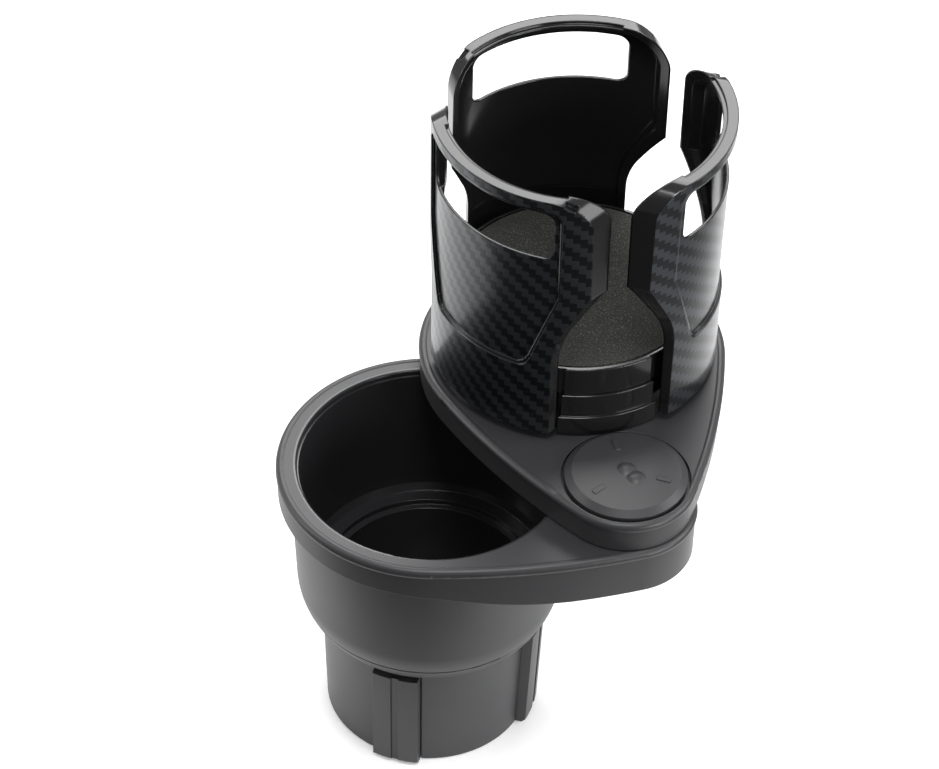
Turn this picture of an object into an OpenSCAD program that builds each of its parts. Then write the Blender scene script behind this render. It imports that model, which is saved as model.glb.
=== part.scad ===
// Two-cup car cup holder with an expanding base, a swivelling arm and a three-petal basket.
// Origin: centre of the foot of the base, on the axis of the lower cup. +Z up, +X toward the pivot.
// The two narrow ends share one pivot axis. The arm is drawn where the picture has it.

/* [Two teardrops] */
// Distance from each cup axis to the pivot axis
pivot_dist = 63.8; // [58:0.1:72]
// Radius of the round end of the lower flange
flange_r = 50.1; // [47.5:0.1:54]
// Radius of the pivot end of the lower flange
flange_end_r = 23.5; // [22.5:0.1:26]
// Radius of the round end of the arm
tray_r = 50.4; // [48.5:0.1:54]
// Radius of the pivot end of the arm
tray_end_r = 22.6; // [22:0.1:25]
// Radius of the gently bowed long sides
side_bow_r = 235; // [180:5:400]
// Turn of the arm from lying over the lower cup, in degrees
arm_turn = 60; // [40:1:120]

/* [Heights] */
// Height of the lower flange's flat top
flange_top = 105.5; // [98:0.5:112]
// Skirt depth round the cup
skirt_cup = 10.9; // [9:0.1:13]
// Skirt depth at the pivot end
skirt_pivot = 17.0; // [14:0.1:20]
// Radius of the round bead along the edges
bead_r = 1.85; // [1.6:0.05:2.1]
// How far the bead stands over the flat top
bead_up = 0.2; // [0.15:0.05:0.4]
// Total height of the arm
tray_h = 10.8; // [10:0.1:13]
// Height of the seam between bowl and sleeve
seam_z = 43.3; // [40:0.1:47]

/* [Lower cup] */
// How far the flange stands out over the bowl
flange_lip = 4.1; // [3.4:0.1:6]
// Thickness of the bowl at its mouth
mouth_lip = 2.7; // [2:0.1:4]
// Wall thickness of the bowl
wall = 2.3; // [1.8:0.1:2.6]
// Height of the cup's ring floor over the seam
ledge_up = 11.0; // [9.5:0.1:13]
// Width of the ring floor, from the mouth to its inner edge
ledge_w = 8.9; // [8:0.1:10]
// Width of the small step under the ring floor
step_w = 2.1; // [1.5:0.1:3]
// How much the deep part narrows to its floor
deep_draft = 3.7; // [3:0.1:5]

/* [Expanding base] */
// Wall of the sleeve at its top, with its gap to the tube inside
sleeve_wall = 1.6; // [1.4:0.1:2.4]
// How much the sleeve narrows to its foot
sleeve_draft = 1.4; // [0.8:0.1:2]
// Angle of the first fin about the cup axis
fin_1_angle = 0; // [-10:1:10]
// Angle of the second fin
fin_2_angle = -91; // [-100:1:-80]
// Angle of the third fin
fin_3_angle = 134.5; // [125:0.5:145]
// Width of a fin
fin_w = 15.4; // [12:0.2:17]
// How far a fin stands out of the sleeve
fin_out = 3.3; // [2.6:0.1:4.5]
// Outward travel of the fins over the sleeve's turn
fin_travel = 3.0; // [2:0.1:3.5]
// Turn of the sleeve that drives the fins, in degrees
base_turn = 60; // [40:5:70]
// Width of the rubber strip down each fin
strip_w = 2.5; // [1.5:0.1:4]

/* [Basket] */
// Outer radius of the petals at their foot
petal_foot_r = 46.9; // [46.4:0.1:47.6]
// Outer radius of the petals at their rim
petal_rim_r = 47.9; // [47.4:0.1:49]
// Height of the rim over the arm
basket_h = 98.9; // [85:0.5:110]
// Depth of the petals' edge flange, measured inward
petal_depth = 4.9; // [4.2:0.1:5.3]
// Depth of that flange on the legs
leg_depth = 2.5; // [2.4:0.1:4]
// Thickness of the petals' wall
petal_wall = 2.2; // [1.8:0.1:2.4]
// Half width of a petal at the shoulders
shoulder_w = 35.6; // [34:0.1:36.4]
// Half width of a petal's leg
leg_w = 26.9; // [25:0.1:28]
// Height of the shoulders, from their lower corner to the rim
shoulder_h = 37.8; // [34:0.1:42]
// Depth of the window's lower edge under the rim
window_drop = 23.5; // [18:0.1:27]
// Height of the bar over the window
rim_bar = 5.3; // [4.5:0.1:7]
// Half width of the window
window_w = 25.8; // [22:0.1:26.5]
// Height of the shield panel's foot over the arm
shield_up = 31.1; // [26:0.1:36]
// Outward travel of the petals over the drum's turn
petal_travel = 4; // [2:0.1:4.5]
// Turn of the drum that drives the petals, in degrees
basket_turn = 40; // [30:1:50]
// Radius of the drum's lowest tier
tier_1_r = 43.6; // [43:0.1:44]
// Radius of the drum's middle tier
tier_2_r = 42.6; // [42.2:0.1:42.9]
// Radius of the drum's top tier
tier_3_r = 41.8; // [41.4:0.1:42.1]
// Height of the lowest ledge over the arm
tier_1_h = 7.7; // [7:0.1:9]
// Height of the middle ledge over the arm
tier_2_h = 16.2; // [14.5:0.1:18]
// Height of the drum's rim over the arm
tier_3_h = 26.7; // [25:0.1:30]
// Radius of the foam pad
pad_r = 39.9; // [36:0.1:40]

/* [Pivot cap] */
// Outer radius of the cap
cap_r = 19.6; // [18:0.1:19.8]
// Radius of the cap's flat top
cap_flat_r = 17.4; // [15:0.1:18]
// Height of the cap's flat top over the arm
cap_up = 2.5; // [1.8:0.1:3.5]

/* [Hidden] */
$fn = 96;
eps = 0.01;
// the bowed sides are this much inside the round ends, so that the arcs always meet cleanly
tuck = 0.01;
tray_z = flange_top + 0.6;
tray_top = tray_z + tray_h;
plate_t = 2.6;
skirt_t = 2.2;
skirt_in = 0.55;
axis_ang = 180 - arm_turn;
drum_x = pivot_dist + pivot_dist * cos(axis_ang);
drum_y = pivot_dist * sin(axis_ang);
petal_angles = [0, 120, 240];
fin_angles = [fin_1_angle, fin_2_angle, fin_3_angle];
// the lower holder's radii follow from the flange inward
bowl_r = flange_r - flange_lip;
mouth_r = bowl_r - mouth_lip;
ledge_r = mouth_r - ledge_w;
deep_r = ledge_r - step_w;
deep_foot_r = deep_r - deep_draft;
tube_t = 1.5;
sleeve_top_r = deep_r + tube_t + sleeve_wall;
sleeve_r = sleeve_top_r - sleeve_draft;
sleeve_in = sleeve_r - 2.6;
cam_r = sleeve_in - 4.8;
base_screw_at = sleeve_in - 2.5;
bowl_arc = 24;
bowl_arc_x = bowl_r - 2.2 - bowl_arc;
bowl_arc_z = seam_z + 16.7;
line_drop = sqrt(75);
line_r = bowl_arc_x + sqrt(bowl_arc * bowl_arc - 75);
ledge_z = seam_z + ledge_up;
rim_z = tray_top + basket_h;
shoulder_z = rim_z - shoulder_h;
window_z = rim_z - window_drop;
shield_z = tray_top + shield_up;
tier_r = [tier_1_r, tier_2_r, tier_3_r];
tier_z = [tray_top + tier_1_h, tray_top + tier_2_h, tray_top + tier_3_h];

// Outline of a teardrop: two circles joined by bowed sides that are tangent to both.
function bow_x(R, r) = ((side_bow_r - R) ^ 2 - (side_bow_r - r) ^ 2 + pivot_dist ^ 2) / (2 * pivot_dist);
function bow_y(R, r) = sqrt((side_bow_r - R) ^ 2 - bow_x(R, r) ^ 2);
function ang_big(R, r) = atan2(bow_y(R, r), -bow_x(R, r));
function ang_end(R, r) = atan2(bow_y(R, r), pivot_dist - bow_x(R, r));

// Spiral slots: a circle through three points of the spiral, so the slot wall is a true arc.
function spiral_pt(r0, travel, turn, f) = (r0 + travel * f) * [cos(turn * f), sin(turn * f)];
function mid_c(a, b, c) =
    let (d = 2 * (a.x * (b.y - c.y) + b.x * (c.y - a.y) + c.x * (a.y - b.y)),
         a2 = a * a, b2 = b * b, c2 = c * c)
    [(a2 * (b.y - c.y) + b2 * (c.y - a.y) + c2 * (a.y - b.y)) / d,
     (a2 * (c.x - b.x) + b2 * (a.x - c.x) + c2 * (b.x - a.x)) / d];

pin_r = 1.8;
slot_play = 0.3;
fin_pin_at = cam_r - 9.1;
petal_pin_at = 25;
fin_top_z = seam_z - 0.9;
cam_z = 4.8;
cam_t = 3.0;
scroll_t = 3.2;
deep_floor = 12.5;
floor_z = 8;
stub_r = 7;
post_r = 8;
run_gap = 0.06;
pivot_floor = tray_z + 4.4;
bar_w = 14;
bar_z = tray_top + 4.2;
bar_t = 3;
pocket_w = leg_w - 0.1;
petal_foot_z = tray_top + cap_up + 0.6;
deck_z = bar_z + bar_t + 0.6;
deck_t = 2.8;
window_top = rim_z - rim_bar;
rim_round = 10;
shield_d = 1.2;
shield_w = window_w + 1.9;
shield_foot_w = shield_w - 9.3;
ledge_d = 0.55;
ledge_out = 0.9;

// Section: teardrop tools

// Flat teardrop with its round end at the origin and its pivot end at +X, grown by d.
module drop(R, r, d = 0) {
    bx = bow_x(R, r);
    by = bow_y(R, r);
    x1 = (R + d) * cos(ang_big(R, r));
    x2 = pivot_dist + (r + d) * cos(ang_end(R, r));
    circle(r = R + d, $fn = 180);
    translate([pivot_dist, 0]) circle(r = r + d);
    intersection() {
        translate([bx, -by]) circle(r = side_bow_r + d - tuck, $fn = 720);
        translate([bx, by]) circle(r = side_bow_r + d - tuck, $fn = 720);
        translate([x1, -R - 20]) square([x2 - x1, 2 * R + 40]);
    }
}

// Section of the round bead, with its outer side at x = at; s makes it slightly smaller.
module bead_profile(at, s = 0) {
    translate([at - bead_r, bead_up - bead_r]) circle(r = bead_r - s, $fn = 48);
}

// The section carried round the whole teardrop as four true sweeps.
module bead_run(R, r) {
    bx = bow_x(R, r);
    by = bow_y(R, r);
    a1 = ang_big(R, r);
    a2 = ang_end(R, r);
    rotate([0, 0, a1])
        rotate_extrude(angle = 360 - 2 * a1, $fn = 180) bead_profile(R);
    translate([pivot_dist, 0, 0])
        rotate([0, 0, -a2])
            rotate_extrude(angle = 2 * a2) bead_profile(r);
    for (s = [0, 1])
        mirror([0, s, 0])
            translate([bx, -by, 0])
                rotate([0, 0, a2 - 0.01])
                    rotate_extrude(angle = a1 - a2 + 0.02, $fn = 720) bead_profile(side_bow_r, 2 * tuck);
}

// Plate with a rolled edge; its flat top is at z = 0.
module beaded_plate(R, r) {
    translate([0, 0, -plate_t])
        linear_extrude(plate_t) drop(R, r, -bead_r);
    bead_run(R, r);
}

// Skirt wall between two heights below the flat top.
module skirt(R, r, depth) {
    translate([0, 0, -depth])
        linear_extrude(depth - 1.5)
            difference() {
                drop(R, r, -skirt_in);
                drop(R, r, -skirt_in - skirt_t);
            }
}

// Side view of everything below the flange's lower edge: level, a long S, level again.
module below_edge() {
    x0 = -5;
    x1 = 59;
    h = skirt_pivot - skirt_cup;
    half = (x1 - x0) / 2;
    br = (half * half + h * h / 4) / h;
    translate([x0 - 80, -60]) square([80 + eps, 60 - skirt_cup]);
    intersection() {
        translate([x0, -skirt_cup - br]) circle(r = br, $fn = 720);
        translate([x0, -60]) square([half, 60]);
    }
    difference() {
        translate([x0 + half - eps, -60]) square([half + 2 * eps, 60 - skirt_cup - h / 2]);
        translate([x1, -skirt_pivot + br]) circle(r = br, $fn = 720);
    }
    translate([x1, -60]) square([80, 60 - skirt_pivot]);
}

// Section: slots that drive the sliding pieces

module spiral_slot(r0, travel, turn, half) {
    p0 = spiral_pt(r0, travel, turn, 0);
    p1 = spiral_pt(r0, travel, turn, 0.5);
    p2 = spiral_pt(r0, travel, turn, 1);
    c = mid_c(p0, p1, p2);
    rc = norm(p0 - c);
    q0 = (p0 - c) / rc;
    q2 = (p2 - c) / rc;
    far = rc * 2.2;
    intersection() {
        difference() {
            translate(c) circle(r = rc + half, $fn = 180);
            translate(c) circle(r = rc - half, $fn = 180);
        }
        polygon([c, c + far * q0, c + far * (q0 + q2) / norm(q0 + q2), c + far * q2]);
    }
    translate(p0) circle(r = half, $fn = 32);
    translate(p2) circle(r = half, $fn = 32);
}

// Screw standing on z = 0: a plain head above, its shank below.
module screw(head_r, head_h, shank_r, shank_l) {
    cylinder(r = head_r, h = head_h, $fn = 32);
    translate([0, 0, -shank_l]) cylinder(r = shank_r, h = shank_l + eps, $fn = 32);
}

// Section: lower holder

// Half section of the bowl and the deep tube.
module bowl_profile() {
    difference() {
        union() {
            polygon([[ledge_r - 2, bowl_arc_z], [bowl_r - 2.2, bowl_arc_z], [bowl_r, flange_top - 2],
                     [mouth_r - 1, flange_top - 2], [mouth_r - 1, flange_top - 0.3],
                     [ledge_r - 2, flange_top - 0.3]]);
            intersection() {
                translate([bowl_arc_x, bowl_arc_z]) circle(r = bowl_arc, $fn = 180);
                translate([ledge_r - 3, seam_z]) square([30, bowl_arc_z + eps - seam_z]);
            }
            // deep tube
            polygon([[0, floor_z], [deep_foot_r + tube_t, floor_z], [deep_foot_r + tube_t, floor_z + 1],
                     [deep_r + tube_t - 0.2, seam_z + 3.6], [ledge_r, seam_z + 3.6],
                     [ledge_r, ledge_z - 2], [0, ledge_z - 2]]);
        }
        // the hollow of the cup
        polygon([[0, ledge_z], [mouth_r - 4.3, ledge_z], [mouth_r - 2.7, ledge_z + 2.4],
                 [mouth_r - 2.4, bowl_arc_z + 2],
                 [mouth_r - 0.5, flange_top - 2],
                 [mouth_r, flange_top + 1], [0, flange_top + 1]]);
        // two steps under the ring floor
        translate([0, ledge_z - 2]) square([ledge_r, 3]);
        polygon([[0, deep_floor], [deep_foot_r - 1.2, deep_floor], [deep_foot_r, deep_floor + 1.2],
                 [deep_r - 0.1, ledge_z - 3], [deep_r, ledge_z - 1], [0, ledge_z - 1]]);
        // groove that takes the sleeve's top edge
        translate([deep_r + tube_t - 0.35, seam_z - 1])
            square([sleeve_top_r + 0.5 - (deep_r + tube_t - 0.35), 3.4]);
        // hollow between the tube and the bowl's shoulder
        intersection() {
            translate([bowl_arc_x, bowl_arc_z]) circle(r = bowl_arc - wall, $fn = 180);
            translate([ledge_r, seam_z + 2]) square([10, ledge_z - 6.3 - seam_z]);
        }
        // fine line above the seam
        translate([line_r, bowl_arc_z - line_drop]) rotate(45) square(0.7, center = true);
    }
}

module housing() {
    color("#1b1b1c")
    difference() {
        union() {
            translate([0, 0, flange_top]) {
                difference() {
                    beaded_plate(flange_r, flange_end_r);
                    translate([0, 0, -10]) cylinder(r = mouth_r + 0.3, h = 12, $fn = 180);
                }
                difference() {
                    skirt(flange_r, flange_end_r, skirt_pivot);
                    translate([0, 70, 0]) rotate([90, 0, 0]) linear_extrude(140) below_edge();
                    translate([0, 0, -20]) cylinder(r = bowl_r - 1, h = 30, $fn = 180);
                }
            }
            rotate_extrude($fn = 180) bowl_profile();
            // lip of the mouth joins plate and bowl
            translate([0, 0, flange_top - plate_t])
                difference() {
                    cylinder(r = bowl_r + 1, h = plate_t, $fn = 180);
                    translate([0, 0, -1]) cylinder(r = mouth_r, h = 5, $fn = 180);
                }
            // pivot stub with its foot and four ribs
            translate([pivot_dist, 0, flange_top - 12]) {
                cylinder(r = 9.5, h = 12 - 1);
                cylinder(r = stub_r, h = pivot_floor + 0.5 - flange_top + 12);
                for (a = [45:90:315])
                    rotate([0, 0, a]) translate([8, -0.8, 4]) cube([flange_end_r - 9.5, 1.6, 7]);
            }
            // two long ribs from bowl to pivot
            for (s = [-1, 1])
                translate([bowl_r - 1.6, s * 12 - 0.8, flange_top - 9])
                    cube([pivot_dist - bowl_r - 4, 1.6, 8]);
        }
        // screw holes
        translate([pivot_dist, 0, flange_top - 20]) cylinder(r = 2.05, h = 40, $fn = 32);
        translate([0, 0, floor_z - 1]) cylinder(r = 4 + run_gap, h = 8);
        translate([0, 0, floor_z + 2]) cylinder(r = 8, h = 8);
        for (a = [0:120:240])
            rotate([0, 0, a + 60]) translate([12, 0, floor_z - 1]) cylinder(r = 1.3, h = 4, $fn = 24);
        // dark slit in the fine line above the seam
        translate([0, 0, bowl_arc_z - line_drop - 0.45])
            rotate([0, 0, 305.5])
                rotate_extrude(angle = 13.8) translate([line_r - 1.6, 0]) square([4, 0.95]);
        // softened mouth edge
        rotate_extrude($fn = 180)
            difference() {
                translate([mouth_r - 1, flange_top - 0.8]) square([1.8, 1.8]);
                translate([mouth_r + 0.8, flange_top - 0.8]) circle(r = 0.8, $fn = 48);
            }
    }
}

module base_cam() {
    color("#2a2a2c")
    translate([0, 0, cam_z])
        difference() {
            union() {
                cylinder(r = cam_r, h = cam_t);
                cylinder(r = 14.6, h = floor_z - cam_z);
            }
            translate([0, 0, -1]) cylinder(r = 4.5, h = 6);
            for (a = [0:120:240])
                rotate([0, 0, a + 60]) translate([12, 0, -1]) {
                    cylinder(r = 1.3, h = 6, $fn = 24);
                    cylinder(r = 2.6, h = 2.2, $fn = 24);
                }
            for (a = fin_angles)
                rotate([0, 0, a])
                    translate([0, 0, -1])
                        linear_extrude(6) spiral_slot(fin_pin_at, fin_travel, base_turn, pin_r + slot_play);
        }
}

module base_cam_screws() {
    color("#9a9c9e")
    for (a = [0:120:240])
        rotate([0, 0, a + 60])
            translate([12, 0, cam_z + 1.2])
                mirror([0, 0, 1]) screw(2.3, 1.0, 1.25, 4.4);
}

module base_washer() {
    color("#b4b6b8")
    translate([0, 0, floor_z + 2.1])
        difference() {
            cylinder(r = 7.4, h = 1);
            translate([0, 0, -1]) cylinder(r = 1.75, h = 4, $fn = 32);
        }
}

module base_screw() {
    color("#9a9c9e")
    translate([0, 0, floor_z + 3.1]) screw(3.4, 1.3, 1.6, 8);
}

module slide_ring() {
    color("#d8d6cf")
    translate([pivot_dist, 0, flange_top])
        difference() {
            cylinder(r = 15, h = 0.75);
            translate([0, 0, -1]) cylinder(r = stub_r + 0.5, h = 3);
        }
}

module pivot_washer() {
    color("#b4b6b8")
    translate([pivot_dist, 0, pivot_floor + 0.5])
        difference() {
            cylinder(r = 11, h = 1.2);
            translate([0, 0, -1]) cylinder(r = 2.15, h = 4, $fn = 32);
        }
}

module pivot_screw() {
    color("#9a9c9e")
    translate([pivot_dist, 0, pivot_floor + 1.7])
        screw(4.5, 2.4, 2.0, 15);
}

// Section: expanding base

module fin_slots(extra_w, z0, z1) {
    for (a = fin_angles)
        rotate([0, 0, a])
            translate([cam_r - 6.6, -fin_w / 2 - extra_w, z0])
                cube([30, fin_w + 2 * extra_w, z1 - z0]);
}

module sleeve() {
    rim = seam_z + 1.7;
    color("#1b1b1c")
    difference() {
        union() {
            rotate_extrude($fn = 180)
                difference() {
                    polygon([[0, 0], [sleeve_r - 0.5, 0], [sleeve_r, 0.6], [sleeve_top_r, seam_z],
                             [sleeve_top_r, rim],
                             [0, rim]]);
                    polygon([[0, -1], [sleeve_in, -1], [sleeve_in, 2.7], [cam_r + 0.3, 2.7],
                             [cam_r + 0.3, 4.6], [sleeve_in - 0.2, 4.6], [sleeve_in - 0.2, 10],
                             [deep_r + tube_t - 0.1, rim + 1], [0, rim + 1]]);
                }
            // wall round each fin slot is thickened where the barrel allows it
            intersection() {
                for (a = fin_angles)
                    rotate([0, 0, a])
                        for (s = [-1, 1])
                            translate([sleeve_in - 0.8, s * (fin_w / 2 + 1.3) - 1, 4.7]) cube([3.0, 2, 12]);
                difference() {
                    cylinder(r = sleeve_r - 0.6, h = 40, $fn = 180);
                    translate([0, 0, -1]) cylinder(r = sleeve_in - 0.7, h = 60, $fn = 180);
                }
            }
        }
        fin_slots(0.35, -1, seam_z - 0.5);
        for (a = fin_angles)
            rotate([0, 0, a + 45]) translate([base_screw_at, 0, 0]) cylinder(r = 1.05, h = 6, $fn = 24);
    }
}

// Floor of the sleeve with the post that it turns on.
module base_plate() {
    color("#1b1b1c")
    difference() {
        union() {
            cylinder(r = sleeve_in - 0.3, h = 2.7, $fn = 180);
            cylinder(r = 9, h = 4.6);
            cylinder(r = 4, h = floor_z + 2.1);
            // pairs of ribs that guide the fins' bars
            intersection() {
                for (a = fin_angles)
                    rotate([0, 0, a])
                        for (s = [-1, 1])
                            translate([10, s * 6.2 - 0.8, 2.6]) cube([cam_r - 9.6, 1.6, 1.7]);
                cylinder(r = cam_r, h = 6, $fn = 180);
            }
        }
        translate([0, 0, 2.9]) cylinder(r = 1.65, h = 10, $fn = 32);
        for (a = fin_angles)
            rotate([0, 0, a + 45]) translate([base_screw_at, 0, -1]) {
                cylinder(r = 1.1, h = 6, $fn = 24);
                cylinder(r = 1.75, h = 2.4, $fn = 24);
            }
        // cut-outs behind the fins
        for (a = fin_angles)
            rotate([0, 0, a]) translate([sleeve_in - 2, -fin_w / 2 - 0.4, -1]) cube([4, fin_w + 0.8, 6]);
    }
}

module base_plate_screws() {
    color("#9a9c9e")
    for (a = fin_angles)
        rotate([0, 0, a + 45])
            translate([base_screw_at, 0, 1.4])
                mirror([0, 0, 1]) screw(1.6, 1.0, 1.0, 3.0);
}

// One fin, lying along +X at rest.
module fin_blade() {
    out_foot = sleeve_r + fin_out;
    out_top = sleeve_top_r + fin_out;
    in_foot = deep_foot_r + tube_t + 0.9;
    in_top = deep_r + tube_t + 0.15;
    difference() {
        union() {
            intersection() {
                rotate_extrude($fn = 180)
                    difference() {
                        polygon([[in_foot, 0.4], [out_foot - 1.2, 0.4], [out_foot, 1.8],
                                 [out_top, fin_top_z],
                                 [in_top, fin_top_z], [in_foot, 9]]);
                    }
                translate([cam_r - 6.6, -fin_w / 2, 0]) cube([30, fin_w, 60]);
            }
            // flat bar with its driving pin
            translate([fin_pin_at - 4, -5, 2.8]) cube([in_foot - fin_pin_at + 5.5, 10, 1.6]);
            translate([fin_pin_at, 0, 2.8]) cylinder(r = pin_r, h = 4.5, $fn = 48);
        }
        // bevel down one side of the outer face
        for (s = [-1, 1])
            translate([out_top + 0.2, s * (fin_w / 2 + 0.3), -1])
                rotate([0, 0, 45]) cube([1.9, 1.9, 130], center = true);
        // groove for the strip
        translate([out_foot - 1.6, -strip_w / 2, -1])
            rotate([0, atan((out_top - out_foot) / (fin_top_z - 1.8)), 0]) cube([4, strip_w, 60]);
    }
}

module strip_blade() {
    out_foot = sleeve_r + fin_out;
    lean = atan((sleeve_top_r - sleeve_r) / (fin_top_z - 1.8));
    intersection() {
        translate([out_foot - 1.6, -strip_w / 2, -1]) rotate([0, lean, 0]) cube([0.9, strip_w, 60]);
        translate([sleeve_in - 10, -5, 1.4]) cube([30, 10, fin_top_z - 1.4]);
    }
}

module fin(k) {
    color("#1b1b1c") rotate([0, 0, fin_angles[k]]) fin_blade();
}

module fin_strip(k) {
    color("#0a0a0a") rotate([0, 0, fin_angles[k]]) strip_blade();
}

// Section: arm

// Puts a child drawn in the arm's own frame (round end at the origin, pivot at +X) in place.
module on_arm() {
    translate([drum_x, drum_y, 0]) rotate([0, 0, axis_ang + 180]) children();
}

module tray() {
    color("#1b1b1c")
    difference() {
        union() {
            on_arm() {
                translate([0, 0, tray_top]) {
                    beaded_plate(tray_r, tray_end_r);
                    skirt(tray_r, tray_end_r, tray_h);
                }
                // ribs under the plate from the drum post to the pivot
                for (s = [-1, 1])
                    translate([9, s * 9 - 0.8, tray_top - 8.2]) cube([pivot_dist - 22, 1.6, 6]);
                for (a = [60:60:300])
                    rotate([0, 0, a]) translate([7, -0.8, tray_top - 7.2]) cube([tray_r - 9, 1.6, 5]);
            }
            // hub round the pivot, and the thicker floor of the cap's recess
            translate([pivot_dist, 0, tray_z + 0.2]) cylinder(r = 15.4, h = tray_h - 1.8);
            translate([pivot_dist, 0, tray_top - 4.4]) cylinder(r = tray_end_r - 1.6, h = 3);
            // post that the drum turns on
            translate([drum_x, drum_y, tray_top - 6])
                cylinder(r = post_r, h = deck_z + deck_t + 0.4 - tray_top + 6);
            translate([drum_x, drum_y, tray_top - 7.2]) cylinder(r = 12, h = 5);
            for (a = [30:120:270])
                translate([drum_x, drum_y, tray_top - 6]) rotate([0, 0, a]) translate([14.5, 0, 0])
                    cylinder(r = 3, h = 5);
        }
        translate([pivot_dist, 0, tray_top - 1.6]) cylinder(r = cap_r + 1.0, h = 5);
        translate([pivot_dist, 0, pivot_floor]) cylinder(r = 11.6, h = 20);
        translate([pivot_dist, 0, tray_z - 5]) cylinder(r = stub_r + run_gap, h = 20);
        translate([drum_x, drum_y, tray_top - 2]) cylinder(r = 2.05, h = 20, $fn = 32);
        for (a = [30:120:270])
            translate([drum_x, drum_y, tray_top - 4]) rotate([0, 0, a]) translate([14.5, 0, 0])
                cylinder(r = 1.3, h = 8, $fn = 24);
    }
}

module friction_ring() {
    color("#d8d6cf")
    translate([pivot_dist, 0, pivot_floor])
        difference() {
            cylinder(r = 11, h = 0.4);
            translate([0, 0, -1]) cylinder(r = stub_r + 0.6, h = 3);
        }
}

// Cap with a bevelled edge, three short marks and two low domes.
module pivot_cap() {
    z0 = tray_top - 1.6;
    zt = tray_top + cap_up;
    color("#202022")
    translate([pivot_dist, 0, 0]) {
        difference() {
            rotate_extrude($fn = 180)
                polygon([[0, z0], [cap_r, z0], [cap_r, zt - 1.7], [cap_flat_r, zt], [0, zt]]);
            translate([0, 0, z0 - 1]) cylinder(r = cap_flat_r - 0.2, h = 2.4);
            translate([0, 0, z0 - 1]) cylinder(r = 11.6, h = 1 + cap_up - 0.1);
        }
        for (a = [0:120:240])
            rotate([0, 0, a + 119]) translate([9.9, -0.9, zt - 0.2]) cube([4.7, 1.8, 0.5]);
        for (p = [[-0.2, 1.0], [3.6, -1.9]])
            translate([p.x, p.y, zt - 4.2]) intersection() {
                sphere(r = 5.2, $fn = 48);
                translate([-4, -4, 4.0]) cube([8, 8, 3]);
            }
    }
}

module basket_scroll() {
    color("#2a2a2c")
    translate([drum_x, drum_y, tray_top])
        difference() {
            cylinder(r = 35.5, h = scroll_t, $fn = 180);
            translate([0, 0, -1]) cylinder(r = post_r + 0.3, h = 6);
            for (a = petal_angles)
                rotate([0, 0, a])
                    translate([0, 0, -1])
                        linear_extrude(6)
                            spiral_slot(petal_pin_at, petal_travel, basket_turn, pin_r + slot_play);
            for (a = [30:120:270])
                rotate([0, 0, a]) translate([14.5, 0, -1]) {
                    cylinder(r = 1.4, h = 6, $fn = 24);
                    translate([0, 0, 3.0]) cylinder(r = 2.7, h = 3, $fn = 24);
                }
        }
}

module scroll_screws() {
    color("#9a9c9e")
    for (a = [30:120:270])
        translate([drum_x, drum_y, tray_top + 2.0])
            rotate([0, 0, a]) translate([14.5, 0, 0]) screw(2.4, 1.0, 1.25, 5.4);
}

module drum_washer() {
    color("#b4b6b8")
    translate([drum_x, drum_y, deck_z + deck_t + 0.4])
        difference() {
            cylinder(r = 13, h = 1.2);
            translate([0, 0, -1]) cylinder(r = 2.15, h = 4, $fn = 32);
        }
}

module drum_screw() {
    color("#9a9c9e")
    translate([drum_x, drum_y, deck_z + deck_t + 1.6]) screw(4.2, 2.3, 2.0, 10);
}

// Section: basket

// Room for the petals' legs, cut into the drum's tiers from the side.
module leg_pockets(z0, z1, r_in) {
    for (a = petal_angles)
        rotate([0, 0, a])
            difference() {
                translate([20, -pocket_w, z0]) cube([40, 2 * pocket_w, z1 - z0]);
                translate([0, 0, z0 - 1]) cylinder(r = r_in, h = z1 - z0 + 2, $fn = 180);
            }
}

module drum() {
    z0 = tray_top + 0.3;
    color("#161617")
    translate([drum_x, drum_y, 0])
        difference() {
            union() {
                difference() {
                    rotate_extrude($fn = 180)
                        polygon([[36.6, z0], [tier_r[0], z0], [tier_r[0], tier_z[0] - 0.2],
                                 [tier_r[0] - 0.2, tier_z[0]],
                                 [tier_r[1], tier_z[0]], [tier_r[1], tier_z[1] - 0.2],
                                 [tier_r[1] - 0.2, tier_z[1]],
                                 [38.8, tier_z[1]], [38.8, deck_z], [36.6, deck_z]]);
                    leg_pockets(z0 - 1, tier_z[1] + 1, 40.4);
                }
                // deck with its hub
                translate([0, 0, deck_z]) cylinder(r = 38.9, h = deck_t, $fn = 180);
                translate([0, 0, bar_z - 0.8]) cylinder(r = 12, h = deck_z + deck_t + 0.3 - bar_z + 0.8);
                // guide ribs beside each petal's bar
                for (a = petal_angles)
                    rotate([0, 0, a])
                        for (s = [-1, 1])
                            translate([11, s * (bar_w / 2 + 1.35) - 0.9, bar_z + 0.2])
                                cube([26.4, 1.8, deck_z - bar_z]);
            }
            // hollow behind the tiers, between the petals
            difference() {
                translate([0, 0, z0 - 1]) cylinder(r = tier_r[1] - 2, h = deck_z - z0 - 0.6, $fn = 180);
                translate([0, 0, z0 - 2]) cylinder(r = 36, h = 20);
                for (a = petal_angles)
                    rotate([0, 0, a]) translate([20, -pocket_w - 2, z0 - 2])
                        cube([40, 2 * pocket_w + 4, 20]);
            }
            translate([0, 0, bar_z - 3]) cylinder(r = post_r + run_gap, h = 20);
            // gates where the bars pass the wall
            for (a = petal_angles)
                rotate([0, 0, a])
                    translate([34, -bar_w / 2 - 0.45, bar_z - 0.45]) cube([12, bar_w + 0.9, bar_t + 0.9]);
            for (a = petal_angles)
                rotate([0, 0, a + 60]) translate([30, 0, deck_z - 1]) {
                    cylinder(r = 1.4, h = 8, $fn = 24);
                    cylinder(r = 2.9, h = 1 + 1.3, $fn = 24);
                }
        }
}

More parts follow.
